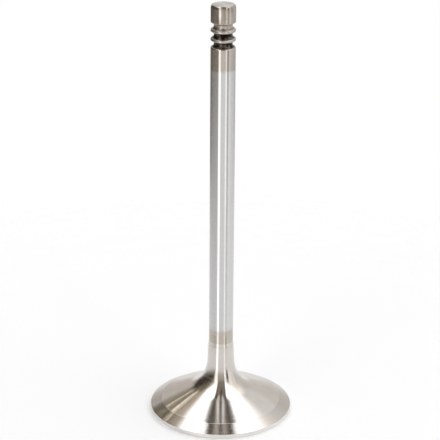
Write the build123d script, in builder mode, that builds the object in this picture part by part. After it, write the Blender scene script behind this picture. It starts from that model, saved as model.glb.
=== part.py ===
from build123d import *
import os
from math import cos, radians, sin, tan

# Poppet valve of an internal combustion engine, millimetres.
# Origin: the centre of the flat combustion face of the head. +Z runs up the stem to the tip.
# The valve is one turned and ground forging, so one half section is revolved about Z.

# Overall
overall_length = 105.0  # combustion face to tip
stem_diameter = 5.97
head_diameter = 35.2

# Head: margin and seat face. Angles on the head are measured from the combustion face.
margin_height = 1.35  # combustion face to the outer edge of the seat
face_edge_chamfer = 0.28
seat_angle = 30
seat_width = 3.15  # along the slope of the ground seat face

# Underhead: the tulip cone, its fillet and the tapered neck
underhead_angle = 23.6
underhead_radius = 8.45
neck_rise = 0.18  # how far the top of the neck stands proud of the stem all round
neck_taper_angle = 2.35  # each side, measured from the axis
neck_length = 4.4  # straight taper above the underhead fillet
run_out_length = 1.15  # short cone from the neck up to the ground stem

# Keeper grooves: round-bottomed, counted down from the tip
groove_count = 3
first_groove_drop = 5.05  # tip to the middle of the first groove
groove_radius = 0.78
groove_depth = 0.76
bead_width = 0.64  # the ridge left between two grooves
lip_radius = 0.15

# Tip
tip_chamfer_width = 0.16
tip_chamfer_height = 0.7

# Radii
stem_radius = stem_diameter / 2
head_radius = head_diameter / 2
neck_radius = stem_radius + neck_rise

# The seat cone rises inwards to the crease, where the underhead cone starts.
crease_radius = head_radius - seat_width * cos(radians(seat_angle))
crease_height = margin_height + seat_width * sin(radians(seat_angle))

# The underhead cone and the neck meet at a sharp corner, which the underhead fillet then rounds.
corner_turn = 90 - neck_taper_angle - underhead_angle
fillet_tangent_length = underhead_radius * tan(radians(corner_turn / 2))
neck_slant = fillet_tangent_length + neck_length
corner_radius = neck_radius + neck_slant * sin(radians(neck_taper_angle))
corner_height = crease_height + (crease_radius - corner_radius) * tan(radians(underhead_angle))
neck_top_height = corner_height + neck_slant * cos(radians(neck_taper_angle))
stem_start_height = neck_top_height + run_out_length

# The grooves are one round form tool's width and a bead apart. The lips take less than half a bead.
groove_pitch = 2 * groove_radius + bead_width
groove_centre_radius = stem_radius - groove_depth + groove_radius
groove_centres = [
    (groove_centre_radius, overall_length - first_groove_drop - place * groove_pitch)
    for place in range(groove_count)
]
groove_lip_radius = min(lip_radius, 0.4 * bead_width)

with BuildPart() as valve:
    with BuildSketch(Plane.XZ) as half_section:
        with BuildLine():
            Polyline(
                (0, 0),
                (head_radius - face_edge_chamfer, 0),
                (head_radius, face_edge_chamfer),
                (head_radius, margin_height),
                (crease_radius, crease_height),
                (corner_radius, corner_height),
                (neck_radius, neck_top_height),
                (stem_radius, stem_start_height),
                (stem_radius, overall_length - tip_chamfer_height),
                (stem_radius - tip_chamfer_width, overall_length),
                (0, overall_length),
                close=True,
            )
        make_face()
        # Sweeping underhead fillet between the cone and the neck
        underhead_corner = half_section.vertices().sort_by_distance((corner_radius, corner_height))[0]
        fillet(underhead_corner, underhead_radius)
        # Keeper grooves, with their lips rounded so that the keepers seat without a burr
        with Locations(*groove_centres):
            Circle(groove_radius, mode=Mode.SUBTRACT)
        fillet(half_section.vertices(Select.LAST), groove_lip_radius)
    revolve(axis=Axis.Z)

valve.part.label = "valve"
os.makedirs("parts", exist_ok=True)
export_step(valve.part, "parts/valve.step")
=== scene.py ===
import math

import bpy
from mathutils import Matrix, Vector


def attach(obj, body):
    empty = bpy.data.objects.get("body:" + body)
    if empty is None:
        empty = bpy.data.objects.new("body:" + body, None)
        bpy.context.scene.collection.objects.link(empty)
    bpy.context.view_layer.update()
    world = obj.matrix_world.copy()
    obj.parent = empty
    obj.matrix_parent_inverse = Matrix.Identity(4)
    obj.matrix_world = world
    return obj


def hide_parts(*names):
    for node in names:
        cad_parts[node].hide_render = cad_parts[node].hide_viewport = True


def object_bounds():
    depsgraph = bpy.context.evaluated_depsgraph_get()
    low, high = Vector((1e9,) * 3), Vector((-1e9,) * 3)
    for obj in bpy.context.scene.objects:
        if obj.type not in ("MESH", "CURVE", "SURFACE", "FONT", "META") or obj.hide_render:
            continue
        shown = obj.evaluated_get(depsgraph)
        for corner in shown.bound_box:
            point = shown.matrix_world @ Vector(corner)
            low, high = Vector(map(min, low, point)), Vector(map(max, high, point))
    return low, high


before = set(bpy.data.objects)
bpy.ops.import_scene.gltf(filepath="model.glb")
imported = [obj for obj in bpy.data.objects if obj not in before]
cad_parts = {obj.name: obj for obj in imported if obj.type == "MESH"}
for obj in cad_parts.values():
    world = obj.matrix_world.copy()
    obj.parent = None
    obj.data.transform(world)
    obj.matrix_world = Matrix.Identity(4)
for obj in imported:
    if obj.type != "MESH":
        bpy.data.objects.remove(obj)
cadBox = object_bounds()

mm = 0.001
print("frame loaded, CAD box", cadBox)


def linearColor(hexCode):
    # sRGB hex to the linear values that the shaders take
    channels = [int(hexCode[i:i + 2], 16) / 255 for i in (1, 3, 5)]
    return [c / 12.92 if c <= 0.04045 else ((c + 0.055) / 1.055) ** 2.4 for c in channels] + [1.0]


def addNode(tree, kind, inputs=None, **settings):
    # one node with its settings and links; an input takes a value, an output, or a node's first output
    node = tree.nodes.new(kind)
    for name, value in settings.items():
        setattr(node, name, value)
    live = [socket for socket in node.inputs if socket.enabled]
    named = {socket.name: socket for socket in reversed(live)}
    for key, value in (inputs or {}).items():
        socket = live[key] if isinstance(key, int) else named[key]
        if isinstance(value, bpy.types.Node):
            value = next(output for output in value.outputs if output.enabled)
        if isinstance(value, bpy.types.NodeSocket):
            tree.links.new(value, socket)
        else:
            socket.default_value = value
    return node


noiseLow, noiseHigh = 0.3, 0.7  # nearly all values of a noise lie between these


def fadeBetween(tree, value, low, high, soft):
    # 1 inside the two limits and 0 outside, with an edge as wide as soft
    mask = None
    for limit, sign in ((low, 1), (high, -1)):
        edge = addNode(tree, "ShaderNodeMapRange", {
            "Value": value, "From Min": limit - sign * soft / 2, "From Max": limit + sign * soft / 2},
            interpolation_type="SMOOTHSTEP")
        mask = addNode(tree, "ShaderNodeMath", {0: mask, 1: edge}, operation="MULTIPLY") if mask else edge
    return mask


def startMaterial(name):
    material = bpy.data.materials.new(name)
    material.use_nodes = True
    material.node_tree.nodes.clear()
    return material, material.node_tree


# the valve's sizes in millimetres and degrees, from the combustion face up to the tip;
# halfSection adds the heights of the crease, the stem's foot and the grooves for the finishes to use
valve = {
    "length": (cadBox[1].z - cadBox[0].z) / mm,
    "headRadius": (cadBox[1].x - cadBox[0].x) / 2 / mm,
    "stemRadius": 2.985,
    "marginHeight": 1.35,
    "faceChamfer": 0.28,
    "seatAngle": 30,
    "seatWidth": 3.15,
    "seatStep": 0.07,  # the ground seat lies this much below the turned cone
    "stepLean": 0.2,  # that step leans inwards by this share of its height
    "underheadAngle": 23.6,
    "underheadRadius": 8.45,
    "neckRise": 0.18,
    "neckTaper": 2.35,
    "neckLength": 4.4,
    "runOut": 1.15,
    "firstGroove": 5.05,
    "grooveRadius": 0.78,
    "grooveDepth": 0.76,
    "beadWidth": 0.64,
    "lipRadius": 0.28,
    "tipChamferWidth": 0.16,
    "tipChamferHeight": 0.7,
    "rimRadius": 0.44,
    "turns": 256,  # segments round the axis
    "filletSteps": 56,
    "coneRing": 0.04,  # rings beside the fillet, at this share of the cone and of the neck,
    "neckRing": 0.08,  # hold the straight parts straight in the shading
    "lipSteps": 16,
    "grooveSteps": 32,
    "rimSteps": 10,
    "sharpEdge": 5.2,  # a bend of more degrees than this stays a crisp edge
    "weldGap": 0.001,
}

# where one finish ends and the next begins, in millimetres from the combustion face up the stem
finishHeights = {
    "plainBandTop": 20.9,
    "platingStart": 22.3,
    "platingStartSoft": 0.5,  # the plating fades in over this much on each side
    "platingEnd": 89.2,
    "platingEndSoft": (0.3, 0.5),  # and out over this much below and above
    "aboveFace": 0.01,  # the flat faces at both ends keep their own finish up to their edge
    "belowTip": 0.02,
    "pastGroove": 0.79,  # from the middle of the outer grooves to where their finish ends, on the lip
}


def arcPoints(centre, radius, start, end, count):
    # a round stretch from one angle to the other, in degrees, in that many steps
    angles = [math.radians(start + (end - start) * i / count) for i in range(count + 1)]
    return [(centre[0] + radius * math.cos(a), centre[1] + radius * math.sin(a)) for a in angles]


def between(first, second, share):
    return (first[0] + (second[0] - first[0]) * share, first[1] + (second[1] - first[1]) * share)


def halfSection(v):
    # radius and height of the outline, from the middle of the combustion face up to the middle of the tip
    seat, cone, taper = (math.radians(v[k]) for k in ("seatAngle", "underheadAngle", "neckTaper"))
    creaseR = v["headRadius"] - v["seatWidth"] * math.cos(seat)
    creaseZ = v["marginHeight"] + v["seatWidth"] * math.sin(seat)
    turn = math.pi / 2 - taper - cone
    tangent = v["underheadRadius"] * math.tan(turn / 2)
    slant = tangent + v["neckLength"]
    neckR = v["stemRadius"] + v["neckRise"]
    cornerR = neckR + slant * math.sin(taper)
    cornerZ = creaseZ + (creaseR - cornerR) * math.tan(cone)
    neckTopZ = cornerZ + slant * math.cos(taper)
    filletFoot = (cornerR + tangent * math.cos(cone), cornerZ - tangent * math.sin(cone))
    filletCentre = (filletFoot[0] + v["underheadRadius"] * math.sin(cone),
                    filletFoot[1] + v["underheadRadius"] * math.cos(cone))
    v["creaseHeight"] = creaseZ
    v["stemStart"] = neckTopZ + v["runOut"]

    points = [(0, 0), (v["headRadius"] / 2, 0), (v["headRadius"] - v["faceChamfer"], 0),
              (v["headRadius"], v["faceChamfer"]), (v["headRadius"], v["marginHeight"] - v["seatStep"]),
              (creaseR, creaseZ - v["seatStep"]), (creaseR - v["seatStep"] * v["stepLean"], creaseZ)]
    fillet = arcPoints(filletCentre, v["underheadRadius"], 270 - v["underheadAngle"], 180 + v["neckTaper"],
                       v["filletSteps"])
    neckTop = (neckR, neckTopZ)
    points.append(between(fillet[0], points[-1], v["coneRing"]))
    points += fillet
    points.append(between(fillet[-1], neckTop, v["neckRing"]))
    points += [neckTop, (v["stemRadius"], v["stemStart"])]
    points += [(v["stemRadius"], finishHeights[k]) for k in ("plainBandTop", "platingStart", "platingEnd")]

    # grooves from the lowest to the highest, each with two rounded lips
    pitch = 2 * v["grooveRadius"] + v["beadWidth"]
    v["grooves"] = [v["length"] - v["firstGroove"] - place * pitch for place in (2, 1, 0)]
    centreR = v["stemRadius"] - v["grooveDepth"] + v["grooveRadius"]
    lipR = v["stemRadius"] - v["lipRadius"]
    reach = v["grooveRadius"] + v["lipRadius"]
    drop = math.sqrt(reach ** 2 - (centreR - lipR) ** 2)  # groove centre to lip centre, along the stem
    lipTurn = math.degrees(math.atan2(drop, centreR - lipR))
    for z in v["grooves"]:
        lowerLip = arcPoints((lipR, z - drop), v["lipRadius"], 0, lipTurn, v["lipSteps"])
        groove = arcPoints((centreR, z), v["grooveRadius"], 180 + lipTurn, 180 - lipTurn, v["grooveSteps"])
        upperLip = arcPoints((lipR, z + drop), v["lipRadius"], -lipTurn, 0, v["lipSteps"])
        points += lowerLip + groove[1:] + upperLip[1:]
    lean = math.degrees(math.atan2(v["tipChamferWidth"], v["tipChamferHeight"]))
    rim = v["rimRadius"] * math.tan(math.radians(90 - lean) / 2)  # from the corner to its rounding's end
    rimR = v["stemRadius"] - v["tipChamferWidth"] - rim
    points.append((v["stemRadius"], v["length"] - v["tipChamferHeight"]))
    points += arcPoints((rimR, v["length"] - v["rimRadius"]), v["rimRadius"], lean, 90, v["rimSteps"])
    points.append((0, v["length"]))
    return points


def valveCoordinates(tree):
    # the place on the piece, the distance from the axis and the height, all in millimetres
    source = addNode(tree, "ShaderNodeTexCoord").outputs["Object"]
    place = addNode(tree, "ShaderNodeVectorMath", {"Vector": source, "Scale": 1 / mm}, operation="SCALE")
    parts = addNode(tree, "ShaderNodeSeparateXYZ", {0: place})
    flat = addNode(tree, "ShaderNodeCombineXYZ", {"X": parts.outputs["X"], "Y": parts.outputs["Y"]})
    radius = addNode(tree, "ShaderNodeVectorMath", {0: flat}, operation="LENGTH")
    return {"place": place, "radius": radius, "height": parts.outputs["Z"]}


def finishSteel(tree, color, roughness, anisotropy, normal=None):
    # steel that was cut or ground while it turned: the marks run round, so the shine spreads along the stem
    tangent = addNode(tree, "ShaderNodeTangent", direction_type="RADIAL", axis="Z")
    shader = addNode(tree, "ShaderNodeBsdfPrincipled", {
        "Base Color": color, "Metallic": 1.0, "Roughness": roughness,
        "Anisotropic": anisotropy, "Anisotropic Rotation": 0.25, "Tangent": tangent})
    if normal is not None:
        tree.links.new(normal.outputs[0], shader.inputs["Normal"])
    addNode(tree, "ShaderNodeOutputMaterial", {"Surface": shader})


# colours of the steels and of what lies on them
steels = {
    "plated": "#D3D3D3",
    "unplated": "#BEB7B0",
    "relief": "#BEB7AE",
    "underhead": "#D4CFC9",
    "smudge": "#C6BDB9",
    "seat": "#C7C2BD",
    "margin": "#E6E3E0",
    "face": "#C9C5C1",
    "tipFace": "#D5D3D1",
    "stainAndShade": "#20160E",
    "bloom": "#8E7E70",
}

# marks to the millimetre; the real rings of the cutter and the wheel are several times finer than these,
# which are as coarse as it takes for them to show
marksPerMm = {
    "stemRings": 3.0,
    "reliefRings": 4.0,
    "underheadRings": 2.4,
    "underheadDulling": 3.1,
    "seatRings": 4.0,
    "marginRings": 4.0,
    "faceRings": 4.5,
    "tipGrit": 1.6,
    "handling": 0.28,
    "oilPatches": 0.6,
}

# how deep the rings are cut, in millimetres
ringDepths = {
    "underhead": 0.010,
    "seat": 0.014,
    "face": 0.012,
}

reliefTaper = 0.15  # the relief is shaded as a cut that narrows upwards by this slope
platingDulls = 0.03  # the plating adds this to the roughness of the ground stem


def groundStem():
    # martensitic steel, centreless ground: a satin gleam with rings too fine to see one by one,
    # under a thin hard chrome plating on the running length, which is the colder and brighter part
    material, tree = startMaterial("hard_chromed_ground_steel")
    at = valveCoordinates(tree)
    start, startSoft, end, endSoft = (finishHeights[k] for k in (
        "platingStart", "platingStartSoft", "platingEnd", "platingEndSoft"))
    begun = addNode(tree, "ShaderNodeMapRange", {
        "Value": at["height"], "From Min": start - startSoft, "From Max": start + startSoft})
    ended = addNode(tree, "ShaderNodeMapRange", {
        "Value": at["height"], "From Min": end + endSoft[1], "From Max": end - endSoft[0]})
    plating = addNode(tree, "ShaderNodeMath", {0: ended, 1: begun}, operation="MULTIPLY")
    color = addNode(tree, "ShaderNodeMix", {
        "Factor": plating, "A": linearColor(steels["unplated"]), "B": linearColor(steels["plated"])},
        data_type="RGBA")
    rings = addNode(tree, "ShaderNodeTexNoise", {
        "W": at["height"], "Scale": marksPerMm["stemRings"], "Detail": 2.0}, noise_dimensions="1D")
    rough = addNode(tree, "ShaderNodeMapRange", {
        "Value": rings, "From Min": noiseLow, "From Max": noiseHigh, "To Min": 0.20, "To Max": 0.24})
    rough = addNode(tree, "ShaderNodeMath", {0: plating, 1: platingDulls, 2: rough}, operation="MULTIPLY_ADD")
    finishSteel(tree, color, rough, 1.0)
    return material


def reliefSteel():
    # martensitic steel, turned back a little and left unplated under the running length:
    # browner and darker than the plating, with a keener gleam
    material, tree = startMaterial("unplated_turned_steel")
    at = valveCoordinates(tree)
    rings = addNode(tree, "ShaderNodeTexNoise", {
        "W": at["height"], "Scale": marksPerMm["reliefRings"], "Detail": 2.0}, noise_dimensions="1D")
    rough = addNode(tree, "ShaderNodeMapRange", {
        "Value": rings, "From Min": noiseLow, "From Max": noiseHigh, "To Min": 0.15, "To Max": 0.19})
    slope = addNode(tree, "ShaderNodeBump", {
        "Strength": 1.0, "Distance": reliefTaper * mm, "Height": at["height"]}, invert=True)
    finishSteel(tree, linearColor(steels["relief"]), rough, 1.0, slope)
    return material


def turnedUnderhead():
    # austenitic steel, fine turned: faint rings, deeper beside the seat, and soft smudges where it was
    # handled, so that the wide reflections are not quite even
    material, tree = startMaterial("turned_underhead_steel")
    at = valveCoordinates(tree)
    rings = addNode(tree, "ShaderNodeTexNoise", {
        "W": at["radius"], "Scale": marksPerMm["underheadRings"], "Detail": 3.0}, noise_dimensions="1D")
    deeper = addNode(tree, "ShaderNodeMapRange", {
        "Value": at["radius"], "From Min": 12.4, "From Max": 14.2, "To Min": 1.0, "To Max": 1.6})
    cut = addNode(tree, "ShaderNodeMath", {0: rings, 1: deeper}, operation="MULTIPLY")
    bump = addNode(tree, "ShaderNodeBump", {
        "Strength": 1.0, "Distance": ringDepths["underhead"] * mm, "Height": cut})
    base = addNode(tree, "ShaderNodeMapRange", {
        "Value": at["height"], "From Min": 5.8, "From Max": 15.0, "To Min": 0.14, "To Max": 0.17})
    duller = addNode(tree, "ShaderNodeTexNoise", {
        "W": at["radius"], "Scale": marksPerMm["underheadDulling"], "Detail": 2.0}, noise_dimensions="1D")
    change = addNode(tree, "ShaderNodeMapRange", {
        "Value": duller, "From Min": 0.35, "From Max": 0.7, "To Min": -0.02, "To Max": 0.03})
    rough = addNode(tree, "ShaderNodeMath", {0: base, 1: change}, operation="ADD")
    handled = addNode(tree, "ShaderNodeTexNoise", {
        "Vector": at["place"], "Scale": marksPerMm["handling"], "Detail": 3.0})
    smudges = addNode(tree, "ShaderNodeMapRange", {
        "Value": handled, "From Min": 0.42, "From Max": 0.68, "To Min": 0.0, "To Max": 0.35})
    color = addNode(tree, "ShaderNodeMix", {
        "Factor": smudges, "A": linearColor(steels["underhead"]), "B": linearColor(steels["smudge"])},
        data_type="RGBA")
    finishSteel(tree, color, rough, 1.0, bump)
    return material


def groundSeat():
    # hard facing, ground: a fine, even gleam with the wheel's marks running round
    material, tree = startMaterial("ground_seat_steel")
    at = valveCoordinates(tree)
    marks = addNode(tree, "ShaderNodeTexNoise", {
        "W": at["radius"], "Scale": marksPerMm["seatRings"], "Detail": 2.0}, noise_dimensions="1D")
    bump = addNode(tree, "ShaderNodeBump", {
        "Strength": 1.0, "Distance": ringDepths["seat"] * mm, "Height": marks})
    rough = addNode(tree, "ShaderNodeMapRange", {
        "Value": marks, "From Min": noiseLow, "From Max": noiseHigh, "To Min": 0.15, "To Max": 0.19})
    finishSteel(tree, linearColor(steels["seat"]), rough, 1.0, bump)
    return material


def turnedMargin():
    # the turned rim of the head, left as the cutter leaves it: satin and pale, with rings running round
    material, tree = startMaterial("turned_margin_steel")
    at = valveCoordinates(tree)
    marks = addNode(tree, "ShaderNodeTexNoise", {
        "W": at["height"], "Scale": marksPerMm["marginRings"], "Detail": 2.0}, noise_dimensions="1D")
    rough = addNode(tree, "ShaderNodeMapRange", {
        "Value": marks, "From Min": noiseLow, "From Max": noiseHigh, "To Min": 0.32, "To Max": 0.40})
    finishSteel(tree, linearColor(steels["margin"]), rough, 0.8)
    return material


def facedHead():
    # the combustion face, faced off in the lathe: fine rings round the middle that catch the light in a fan
    material, tree = startMaterial("faced_head_steel")
    at = valveCoordinates(tree)
    marks = addNode(tree, "ShaderNodeTexNoise", {
        "W": at["radius"], "Scale": marksPerMm["faceRings"], "Detail": 3.0}, noise_dimensions="1D")
    bump = addNode(tree, "ShaderNodeBump", {
        "Strength": 1.0, "Distance": ringDepths["face"] * mm, "Height": marks})
    rough = addNode(tree, "ShaderNodeMapRange", {
        "Value": marks, "From Min": noiseLow, "From Max": noiseHigh, "To Min": 0.26, "To Max": 0.36})
    finishSteel(tree, linearColor(steels["face"]), rough, 0.9, bump)
    return material


# the burnt oil in the keeper grooves and a thin band of painted shade, in millimetres, with heights from the
# middle of the top groove
burntOilAndShade = {
    "fullRadius": 2.52,
    "cleanRadius": 2.88,  # the ridges are bright from here out
    "fullBelow": -1.15,
    "thinAbove": -0.9,
    "thinShare": 0.08,
    "shadeBand": (-0.6, -0.34),  # a thin band of painted shade, in the stain's colour, crosses the lower flank of the top groove where it mirrors dark things
    "shadeBandSoft": 0.12,
    "shadeBandShare": 0.6,
}


def stainedShadedGroove():
    # form-turned keeper grooves: oil has burnt dark brown into the lower two, and the ridges between them
    # have been rubbed bright; a thin band of painted shade darkens the lower flank of the top groove
    material, tree = startMaterial("oil_stained_and_shaded_groove_steel")
    at = valveCoordinates(tree)
    topGroove = valve["grooves"][2]
    deep = addNode(tree, "ShaderNodeMapRange", {
        "Value": at["radius"], "From Min": burntOilAndShade["cleanRadius"], "From Max": burntOilAndShade["fullRadius"]})
    low = addNode(tree, "ShaderNodeMapRange", {
        "Value": at["height"], "From Min": topGroove + burntOilAndShade["fullBelow"],
        "From Max": topGroove + burntOilAndShade["thinAbove"], "To Min": 1.0, "To Max": burntOilAndShade["thinShare"]})
    patches = addNode(tree, "ShaderNodeTexNoise", {
        "Vector": at["place"], "Scale": marksPerMm["oilPatches"], "Detail": 2.0})
    worn = addNode(tree, "ShaderNodeMapRange", {
        "Value": patches, "From Min": 0.38, "From Max": 0.58, "To Min": 0.75, "To Max": 1.0})
    inGroove = addNode(tree, "ShaderNodeMath", {0: deep, 1: low}, operation="MULTIPLY")
    # painted shade: a thin dark band on the top groove's lower flank stands for a dark reflection, in the
    # stain's colour
    lowEdge, highEdge = (topGroove + edge for edge in burntOilAndShade["shadeBand"])
    shadeBand = fadeBetween(tree, at["height"], lowEdge, highEdge, burntOilAndShade["shadeBandSoft"])
    shadeBand = addNode(tree, "ShaderNodeMath", {0: shadeBand, 1: burntOilAndShade["shadeBandShare"]}, operation="MULTIPLY")
    stainAndShade = addNode(tree, "ShaderNodeMath", {0: inGroove, 1: worn}, operation="MULTIPLY")
    stainAndShade = addNode(tree, "ShaderNodeMath", {0: stainAndShade, 1: shadeBand}, operation="MAXIMUM")
    color = addNode(tree, "ShaderNodeMix", {
        "Factor": stainAndShade, "A": linearColor(steels["unplated"]), "B": linearColor(steels["stainAndShade"])},
        data_type="RGBA")
    rough = addNode(tree, "ShaderNodeMapRange", {"Value": stainAndShade, "To Min": 0.4, "To Max": 0.3})
    finishSteel(tree, color, rough, 0.6)
    return material


# the smears on the tip: how many to a millimetre across and along it, and where in the pattern they start
tipSmears = {
    "grain": (0.55, 0.55, 0.22),
    "start": (3.0, 0.0, 0.0),
}


def tipSteel():
    # induction hardened and ground, with the brown bloom of the hardening in soft upright smears
    material, tree = startMaterial("hardened_tip_steel")
    at = valveCoordinates(tree)
    drawn = addNode(tree, "ShaderNodeVectorMath", {
        0: at["place"], 1: tipSmears["grain"], 2: tipSmears["start"]}, operation="MULTIPLY_ADD")
    smears = addNode(tree, "ShaderNodeTexNoise", {"Vector": drawn, "Scale": 1.0, "Detail": 3.0})
    bloom = addNode(tree, "ShaderNodeMapRange", {
        "Value": smears, "From Min": 0.4, "From Max": 0.65, "To Min": 0.05, "To Max": 0.8})
    color = addNode(tree, "ShaderNodeMix", {
        "Factor": bloom, "A": linearColor(steels["unplated"]), "B": linearColor(steels["bloom"])},
        data_type="RGBA")
    rough = addNode(tree, "ShaderNodeMapRange", {
        "Value": smears, "From Min": noiseLow, "From Max": noiseHigh, "To Min": 0.22, "To Max": 0.26})
    finishSteel(tree, color, rough, 1.0)
    return material


def tipFace():
    # the ground end that the rocker presses on: flat, satin, with the marks of the wheel
    material, tree = startMaterial("ground_tip_face_steel")
    at = valveCoordinates(tree)
    marks = addNode(tree, "ShaderNodeTexNoise", {
        "Vector": at["place"], "Scale": marksPerMm["tipGrit"], "Detail": 3.0})
    rough = addNode(tree, "ShaderNodeMapRange", {
        "Value": marks, "From Min": noiseLow, "From Max": noiseHigh, "To Min": 0.36, "To Max": 0.44})
    finishSteel(tree, linearColor(steels["tipFace"]), rough, 0.6)
    return material


def latheTree(zones):
    # turns the half section round the Z axis, welds it, and gives each height zone its finish
    tree = bpy.data.node_groups.new("turnHalfSection", "GeometryNodeTree")
    tree.interface.new_socket("Geometry", in_out="INPUT", socket_type="NodeSocketGeometry")
    tree.interface.new_socket("Turns", in_out="INPUT", socket_type="NodeSocketInt")
    tree.interface.new_socket("Sharp Edge", in_out="INPUT", socket_type="NodeSocketFloat")
    tree.interface.new_socket("Geometry", in_out="OUTPUT", socket_type="NodeSocketGeometry")
    source = addNode(tree, "NodeGroupInput")
    outline, turns, sharpEdge = (source.outputs[k] for k in ("Geometry", "Turns", "Sharp Edge"))
    count = addNode(tree, "GeometryNodeAttributeDomainSize", {"Geometry": outline}).outputs["Point Count"]
    columns = addNode(tree, "ShaderNodeMath", {0: turns, 1: 1.0}, operation="ADD")
    grid = addNode(tree, "GeometryNodeMeshGrid", {"Vertices X": columns, "Vertices Y": count})
    index = addNode(tree, "GeometryNodeInputIndex")
    row = addNode(tree, "ShaderNodeMath", {0: index, 1: count}, operation="FLOORED_MODULO")
    ratio = addNode(tree, "ShaderNodeMath", {0: index, 1: count}, operation="DIVIDE")
    column = addNode(tree, "ShaderNodeMath", {0: ratio}, operation="FLOOR")
    position = addNode(tree, "GeometryNodeInputPosition")
    sample = addNode(tree, "GeometryNodeSampleIndex", {
        "Geometry": outline, "Value": position, "Index": row}, data_type="FLOAT_VECTOR")
    section = addNode(tree, "ShaderNodeSeparateXYZ", {0: sample})
    share = addNode(tree, "ShaderNodeMath", {0: column, 1: turns}, operation="DIVIDE")
    angle = addNode(tree, "ShaderNodeMath", {0: share, 1: 2 * math.pi}, operation="MULTIPLY")
    across = {}
    for axis, operation in (("X", "COSINE"), ("Y", "SINE")):
        wave = addNode(tree, "ShaderNodeMath", {0: angle}, operation=operation)
        across[axis] = addNode(tree, "ShaderNodeMath", {0: wave, 1: section.outputs["X"]},
                               operation="MULTIPLY")
    placed = addNode(tree, "ShaderNodeCombineXYZ", {**across, "Z": section.outputs["Z"]})
    turned = addNode(tree, "GeometryNodeSetPosition", {"Geometry": grid.outputs["Mesh"], "Position": placed})
    welded = addNode(tree, "GeometryNodeMergeByDistance", {
        "Geometry": turned, "Distance": valve["weldGap"] * mm})
    smooth = addNode(tree, "GeometryNodeSetShadeSmooth", {"Geometry": welded})
    bend = addNode(tree, "GeometryNodeInputMeshEdgeAngle").outputs["Unsigned Angle"]
    sharp = addNode(tree, "ShaderNodeMath", {0: bend, 1: sharpEdge}, operation="GREATER_THAN")
    creased = addNode(tree, "GeometryNodeSetShadeSmooth", {
        "Geometry": smooth, "Selection": sharp, "Shade Smooth": False}, domain="EDGE")
    shape = addNode(tree, "GeometryNodeRealizeInstances", {"Geometry": creased})
    level = addNode(tree, "ShaderNodeSeparateXYZ", {0: position}).outputs["Z"]
    for floorHeight, material in zones:  # from the combustion face up, each paints over the last
        above = addNode(tree, "ShaderNodeMath", {0: level, 1: floorHeight * mm}, operation="GREATER_THAN")
        shape = addNode(tree, "GeometryNodeSetMaterial", {
            "Geometry": shape, "Selection": above, "Material": material})
    addNode(tree, "NodeGroupOutput", {"Geometry": shape})
    return tree


def makeValve():
    points = halfSection(valve)
    outline = bpy.data.meshes.new("half_section")
    outline.from_pydata([(r * mm, 0, z * mm) for r, z in points],
                        [(i, i + 1) for i in range(len(points) - 1)], [])
    blank = bpy.data.objects.new("half_section", outline)
    bpy.context.scene.collection.objects.link(blank)
    zones = [
        (-1, facedHead()),  # from anywhere below
        (finishHeights["aboveFace"], turnedMargin()),
        (valve["marginHeight"] - valve["seatStep"], groundSeat()),
        (valve["creaseHeight"] - valve["seatStep"], turnedUnderhead()),
        (valve["stemStart"], reliefSteel()),
        (finishHeights["plainBandTop"], groundStem()),
        (valve["grooves"][0] - finishHeights["pastGroove"], stainedShadedGroove()),
        (valve["grooves"][2] + finishHeights["pastGroove"], tipSteel()),
        (valve["length"] - finishHeights["belowTip"], tipFace()),
    ]
    modifier = blank.modifiers.new("turn", "NODES")
    modifier.node_group = latheTree(zones)
    sizes = {"Turns": valve["turns"], "Sharp Edge": math.radians(valve["sharpEdge"])}
    for socket in modifier.node_group.interface.items_tree:
        if socket.name in sizes:
            modifier[socket.identifier] = sizes[socket.name]
    bpy.context.view_layer.update()
    evaluated = blank.evaluated_get(bpy.context.evaluated_depsgraph_get())
    mesh = bpy.data.meshes.new_from_object(evaluated)
    mesh.name = "engine_valve"
    piece = bpy.data.objects.new("engine_valve", mesh)
    bpy.context.scene.collection.objects.link(piece)
    bpy.data.objects.remove(blank)
    print("valve turned:", len(mesh.vertices), "points,", len(mesh.polygons), "faces,",
          len(mesh.materials), "finishes")
    return piece


valvePiece = makeValve()
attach(valvePiece, "root")
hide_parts("valve")


table = {
    "radius": 170 * mm,
    "hole": 17.45 * mm,  # under the head, so that the combustion face is lit in a view from below
    "drop": 0.05 * mm,
    "color": "#ECEDEF",
    "lift": 0.13,  # so much brighter than its lighting makes it, towards white
    "fadeStart": 95 * mm,  # from here out the rim of the table melts into the backdrop
    "fadeEnd": 164.9 * mm,
    # painted light: pools that glow on the table where the white cards would throw light down, seen only in
    # the steel: azimuths in degrees and strength
    "paintedPools": [((-37, -22.5), 1.3), ((27, 33), 0.6)],
    "poolSoft": 3,
    "poolStart": 22.4 * mm,
    "poolFull": 33.6 * mm,
    "sides": 96,
}


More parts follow.
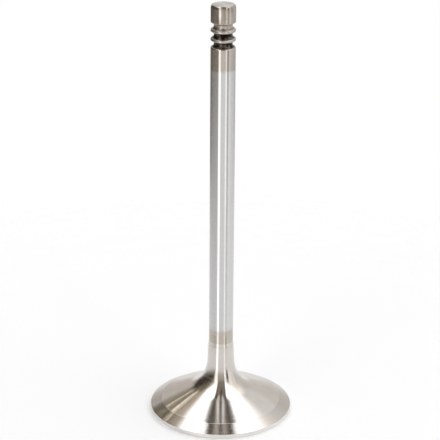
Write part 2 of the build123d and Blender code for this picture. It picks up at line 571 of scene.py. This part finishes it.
def makeTable():
    # a round white laminate top, matt; its underside and its rim are clear to the camera, so that a view
    # from below shows the head and no edge stands out against the backdrop
    sides = table["sides"]
    corners = []
    for radius in (table["hole"], table["radius"]):
        for i in range(sides):
            turn = 2 * math.pi * i / sides
            corners.append((radius * math.cos(turn), radius * math.sin(turn), 0))
    faces = [(i, i + sides, (i + 1) % sides + sides, (i + 1) % sides) for i in range(sides)]
    mesh = bpy.data.meshes.new("table_top")
    mesh.from_pydata(corners, [], faces)
    top = bpy.data.objects.new("table_top", mesh)
    top.location.z = -table["drop"]
    bpy.context.scene.collection.objects.link(top)
    material, tree = startMaterial("white_table_laminate")
    paper = addNode(tree, "ShaderNodeBsdfDiffuse", {"Color": linearColor(table["color"])})
    ray = addNode(tree, "ShaderNodeLightPath")
    seen = addNode(tree, "ShaderNodeMath", {0: ray.outputs["Is Camera Ray"], 1: ray.outputs["Is Glossy Ray"]},
                   operation="MAXIMUM")
    seen = addNode(tree, "ShaderNodeMath", {0: seen, 1: ray.outputs["Is Transmission Ray"]},
                   operation="MAXIMUM")
    place = addNode(tree, "ShaderNodeTexCoord").outputs["Object"]
    parts = addNode(tree, "ShaderNodeSeparateXYZ", {0: place})
    toCamera = addNode(tree, "ShaderNodeMath", {0: parts.outputs["Y"], 1: -1.0}, operation="MULTIPLY")
    turn = addNode(tree, "ShaderNodeMath", {0: parts.outputs["X"], 1: toCamera}, operation="ARCTAN2")
    azimuth = addNode(tree, "ShaderNodeMath", {0: turn}, operation="DEGREES")
    distance = addNode(tree, "ShaderNodeVectorMath", {0: place}, operation="LENGTH")
    apart = addNode(tree, "ShaderNodeMapRange", {
        "Value": distance, "From Min": table["poolStart"], "From Max": table["poolFull"]})
    mirrored = addNode(tree, "ShaderNodeMath", {0: apart, 1: ray.outputs["Is Glossy Ray"]},
                       operation="MULTIPLY")
    lift = addNode(tree, "ShaderNodeMath", {0: seen, 1: table["lift"]}, operation="MULTIPLY")
    # painted light: the pools glow on the table for glossy rays only, standing for light the white cards
    # throw down
    for reach, strength in table["paintedPools"]:
        paintedPool = fadeBetween(tree, azimuth, *reach, table["poolSoft"])
        paintedPool = addNode(tree, "ShaderNodeMath", {0: paintedPool, 1: mirrored}, operation="MULTIPLY")
        lift = addNode(tree, "ShaderNodeMath", {0: paintedPool, 1: strength, 2: lift}, operation="MULTIPLY_ADD")
    glow = addNode(tree, "ShaderNodeEmission", {"Strength": lift})
    both = addNode(tree, "ShaderNodeAddShader", {0: paper, 1: glow})
    underside = addNode(tree, "ShaderNodeNewGeometry").outputs["Backfacing"]
    rim = addNode(tree, "ShaderNodeMapRange", {
        "Value": distance, "From Min": table["fadeStart"], "From Max": table["fadeEnd"]},
        interpolation_type="SMOOTHSTEP")
    thin = addNode(tree, "ShaderNodeMath", {0: underside, 1: rim}, operation="MAXIMUM")
    hidden = addNode(tree, "ShaderNodeMath", {0: thin, 1: ray.outputs["Is Camera Ray"]}, operation="MULTIPLY")
    clear = addNode(tree, "ShaderNodeBsdfTransparent")
    shown = addNode(tree, "ShaderNodeMixShader", {0: hidden, 1: both, 2: clear})
    addNode(tree, "ShaderNodeOutputMaterial", {"Surface": shown})
    mesh.materials.append(material)
    print("table top made")


# the room round the table, which the steel mirrors: its dark and bright places give the valve its form
room = {
    "wall": "#F3F3F3",
    "clutterScale": 11.0,  # how finely the upper and lower edges of the patches wander
    "wander": 2.4,  # and how far, in degrees
    "lowest": 0.02,  # what hangs overhead is worked out down to this rise above the horizon
}

# what stands in it, by azimuth (0 towards the camera, 90 to its right) and elevation in degrees,
# each patch over those before it
roomPatches = [
    {"name": "ceiling", "azimuth": (-190, 190), "elevation": (62, 95),
     "soft": 6, "color": "#544C44", "level": 1},
    {"name": "above camera", "azimuth": (-42, 42), "elevation": (26, 78),
     "soft": 6, "color": "#8F857B", "level": 1},
    {"name": "beam", "azimuth": (0, 15), "elevation": (62, 85),
     "soft": 8, "color": "#3F3831", "level": 1},
    {"name": "camera side", "azimuth": (-27, 27), "elevation": (2, 28),
     "soft": 8, "color": "#C3BEB7", "level": 1},
    {"name": "camera table", "azimuth": (-27, 27), "elevation": (-34, 3),
     "soft": 8, "color": "#F4F2F0", "level": 1.14},
    {"name": "right floor", "azimuth": (75, 186), "elevation": (-95, -2),
     "soft": 12, "color": "#CACBCC", "level": 1},
    {"name": "right wall", "azimuth": (60, 128), "elevation": (-14, 62),
     "soft": 24, "color": "#F5F2EE", "level": 1.1},
    {"name": "right panel", "azimuth": (58, 74), "elevation": (-16, 44),
     "soft": 6, "color": "#FBF8F3", "level": 1.22},
    {"name": "right glow", "azimuth": (44, 128), "elevation": (39, 58),
     "soft": 20, "color": "#FFF9F2", "level": 1.45},
    {"name": "left floor", "azimuth": (-172, -40), "elevation": (-95, -4),
     "soft": 10, "color": "#8A847C", "level": 1},
    {"name": "left low", "azimuth": (-165, -44), "elevation": (-8, 14),
     "soft": 10, "color": "#8C867E", "level": 1},
    {"name": "left corner", "azimuth": (-148, -104), "elevation": (-12, 12),
     "soft": 8, "color": "#6E6860", "level": 1},
    {"name": "left wall", "azimuth": (-165, -42), "elevation": (28, 50),
     "soft": 10, "color": "#7E7363", "level": 1},
    {"name": "left glow", "azimuth": (-150, -84), "elevation": (48, 66),
     "soft": 9, "color": "#D8CCBC", "level": 1},
    {"name": "front glow", "azimuth": (-92, -42), "elevation": (46, 66),
     "soft": 10, "color": "#F2E4D6", "level": 1},
    {"name": "left curtain", "azimuth": (-145, -46), "elevation": (6, 31),
     "soft": 10, "color": "#3C352C", "level": 1},
    {"name": "left front", "azimuth": (-60, -46), "elevation": (28, 44),
     "soft": 8, "color": "#A8A196", "level": 1},
    {"name": "left shelf", "azimuth": (-178, -141), "elevation": (22, 46),
     "soft": 8, "color": "#9C9384", "level": 1},
    {"name": "back shelf", "azimuth": (-184, -152), "elevation": (-16, 30),
     "soft": 12, "color": "#D5CFCA", "level": 1},
    {"name": "shelf edge", "azimuth": (-170, -126), "elevation": (42, 43.6),
     "soft": 1, "color": "#FFF8E6", "level": 2.9},
    {"name": "lower edge", "azimuth": (-164, -138), "elevation": (35, 36),
     "soft": 1, "color": "#FFF8E6", "level": 2.6},
    {"name": "right back", "azimuth": (98, 172), "elevation": (-6, 28),
     "soft": 14, "color": "#E4E1DD", "level": 1},
    {"name": "right stand", "azimuth": (40.5, 53), "elevation": (-16, 34),
     "soft": 4, "color": "#4A4742", "level": 1},
]

# two softboxes hang over the table, one on each side, and two thin pale rails run right overhead between
# them; metres to the side and to the front, on a level one metre up. The inner edge splays outwards in
# front of the bend, the outer edge leans inwards behind leanFrom; edge and fade say how soft the two are
overhead = [
    {"side": -1, "inner": 0.190, "splay": 0.21, "bend": 0.0, "edge": 0.03, "outer": 0.83, "lean": 0.64,
     "leanFrom": 0.1, "fade": 0.25, "back": -0.75, "front": 1.5, "color": "#FBFDFF", "level": 2.5},
    {"side": 1, "inner": 0.188, "splay": 0.38, "bend": 0.08, "edge": 0.03, "outer": 0.82, "lean": 0.6,
     "leanFrom": 0.0, "fade": 0.5, "back": -0.75, "front": 1.5, "color": "#FBFDFF", "level": 2.5},
    {"side": -1, "inner": 0.028, "splay": 0, "bend": 0.0, "edge": 0.016, "outer": 0.085, "lean": 0,
     "leanFrom": 0.0, "fade": 0.06, "back": -0.18, "front": 0.1, "color": "#EBE4DC", "level": 1.3},
    {"side": 1, "inner": 0.031, "splay": 0, "bend": 0.0, "edge": 0.016, "outer": 0.09, "lean": 0,
     "leanFrom": 0.0, "fade": 0.07, "back": -0.18, "front": 0.1, "color": "#DDD4CB", "level": 1.25},
]

# a tall white card on each side in front of them, which reaches down to the table;
# the left one is brightest at its foot
whiteCards = [
    {"name": "left card", "azimuth": (-39, -22), "elevation": (-36, 50),
     "soft": 3, "color": "#FFFDF8", "level": 1.55},
    {"name": "left card foot", "azimuth": (-38, -22), "elevation": (-45, -7),
     "soft": 3, "color": "#FFFDF8", "level": 2.4},
    {"name": "right card", "azimuth": (27, 34), "elevation": (-36, 24),
     "soft": 3, "color": "#FFFDFA", "level": 1.9},
]


def hangColor(tree, color, mask, patch):
    # the patch's colour and level where the mask is 1, and what was there before where it is 0
    tint = [channel * patch["level"] for channel in linearColor(patch["color"])[:3]] + [1.0]
    return addNode(tree, "ShaderNodeMix", {"Factor": mask, "A": color, "B": tint}, data_type="RGBA")


def makeWorld():
    world = bpy.data.worlds.new("studio_room")
    bpy.context.scene.world = world
    world.use_nodes = True
    tree = world.node_tree
    tree.nodes.clear()
    direction = addNode(tree, "ShaderNodeTexCoord").outputs["Generated"]
    parts = addNode(tree, "ShaderNodeSeparateXYZ", {0: direction})
    toCamera = addNode(tree, "ShaderNodeMath", {0: parts.outputs["Y"], 1: -1.0}, operation="MULTIPLY")
    turn = addNode(tree, "ShaderNodeMath", {0: parts.outputs["X"], 1: toCamera}, operation="ARCTAN2")
    rise = addNode(tree, "ShaderNodeMath", {0: parts.outputs["Z"]}, operation="ARCSINE")
    azimuth = addNode(tree, "ShaderNodeMath", {0: turn}, operation="DEGREES")
    elevation = addNode(tree, "ShaderNodeMath", {0: rise}, operation="DEGREES")
    clutter = addNode(tree, "ShaderNodeTexNoise", {
        "Vector": direction, "Scale": room["clutterScale"], "Detail": 3.0})
    wander = addNode(tree, "ShaderNodeMapRange", {
        "Value": clutter, "From Min": noiseLow, "From Max": noiseHigh,
        "To Min": -room["wander"], "To Max": room["wander"]})
    uneven = addNode(tree, "ShaderNodeMath", {0: elevation, 1: wander}, operation="ADD")
    upward = addNode(tree, "ShaderNodeMath", {0: parts.outputs["Z"], 1: room["lowest"]}, operation="MAXIMUM")
    planX = addNode(tree, "ShaderNodeMath", {0: parts.outputs["X"], 1: upward}, operation="DIVIDE")
    planFront = addNode(tree, "ShaderNodeMath", {0: toCamera, 1: upward}, operation="DIVIDE")

    color = addNode(tree, "ShaderNodeRGB")
    color.outputs[0].default_value = linearColor(room["wall"])
    for patch in roomPatches:
        across = fadeBetween(tree, azimuth, *patch["azimuth"], patch["soft"])
        upright = fadeBetween(tree, uneven, *patch["elevation"], patch["soft"])
        mask = addNode(tree, "ShaderNodeMath", {0: across, 1: upright}, operation="MULTIPLY")
        color = hangColor(tree, color, mask, patch)
    for box in overhead:
        aside = addNode(tree, "ShaderNodeMath", {0: planX, 1: box["side"]}, operation="MULTIPLY")
        ahead = addNode(tree, "ShaderNodeMath", {0: planFront, 1: box["bend"]}, operation="SUBTRACT")
        ahead = addNode(tree, "ShaderNodeMath", {0: ahead, 1: 0.0}, operation="MAXIMUM")
        splayed = addNode(tree, "ShaderNodeMath", {0: ahead, 1: -box["splay"], 2: aside},
                          operation="MULTIPLY_ADD")
        behind = addNode(tree, "ShaderNodeMath", {0: planFront, 1: box["leanFrom"]}, operation="SUBTRACT")
        behind = addNode(tree, "ShaderNodeMath", {0: behind, 1: 0.0}, operation="MINIMUM")
        leant = addNode(tree, "ShaderNodeMath", {0: behind, 1: -box["lean"], 2: aside},
                        operation="MULTIPLY_ADD")
        inner = addNode(tree, "ShaderNodeMapRange", {
            "Value": splayed, "From Min": box["inner"] - box["edge"] / 2,
            "From Max": box["inner"] + box["edge"] / 2}, interpolation_type="SMOOTHSTEP")
        outer = addNode(tree, "ShaderNodeMapRange", {
            "Value": leant, "From Min": box["outer"] + box["fade"] / 2,
            "From Max": box["outer"] - box["fade"] / 2}, interpolation_type="SMOOTHSTEP")
        along = fadeBetween(tree, planFront, box["back"], box["front"], box["fade"])
        mask = addNode(tree, "ShaderNodeMath", {0: inner, 1: outer}, operation="MULTIPLY")
        mask = addNode(tree, "ShaderNodeMath", {0: mask, 1: along}, operation="MULTIPLY")
        color = hangColor(tree, color, mask, box)
    for card in whiteCards:
        across = fadeBetween(tree, azimuth, *card["azimuth"], card["soft"])
        upright = fadeBetween(tree, elevation, *card["elevation"], card["soft"])
        mask = addNode(tree, "ShaderNodeMath", {0: across, 1: upright}, operation="MULTIPLY")
        color = hangColor(tree, color, mask, card)
    lit = addNode(tree, "ShaderNodeBackground", {"Color": color, "Strength": 1.0})
    backdrop = addNode(tree, "ShaderNodeBackground", {"Color": (1, 1, 1, 1), "Strength": 1.0})
    ray = addNode(tree, "ShaderNodeLightPath")
    shown = addNode(tree, "ShaderNodeMixShader", {0: ray.outputs["Is Camera Ray"], 1: lit, 2: backdrop})
    addNode(tree, "ShaderNodeOutputWorld", {"Surface": shown})
    print("room made:", len(roomPatches), "patches,", len(overhead), "things overhead,", len(whiteCards),
          "card faces")


# the camera stands in front, a little over twice as high as the valve, and looks down on it;
# millimetres and degrees, and metres for how near and how far it sees
camera = {
    "place": (0.0, -413.4, 217.2),
    "pitchDown": 21.914,
    "yaw": -0.063,
    "roll": 0.40,
    "lens": 149.68,
    "sensor": 36,
    "near": 0.01,
    "far": 20,
}


def makeCamera():
    data = bpy.data.cameras.new("camera")
    data.sensor_width = camera["sensor"]
    data.lens = camera["lens"]
    data.clip_start = camera["near"]
    data.clip_end = camera["far"]
    cam = bpy.data.objects.new("camera", data)
    pitch, yaw, roll = (math.radians(camera[k]) for k in ("pitchDown", "yaw", "roll"))
    stand = Matrix.Translation([c * mm for c in camera["place"]])
    aim = Matrix.Rotation(-yaw, 4, "Z") @ Matrix.Rotation(math.pi / 2 - pitch, 4, "X")
    cam.matrix_world = stand @ aim @ Matrix.Rotation(roll, 4, "Z")
    bpy.context.scene.collection.objects.link(cam)
    bpy.context.scene.camera = cam
    print("camera placed")


makeTable()
makeWorld()
makeCamera()
bpy.context.scene.view_settings.view_transform = "Standard"
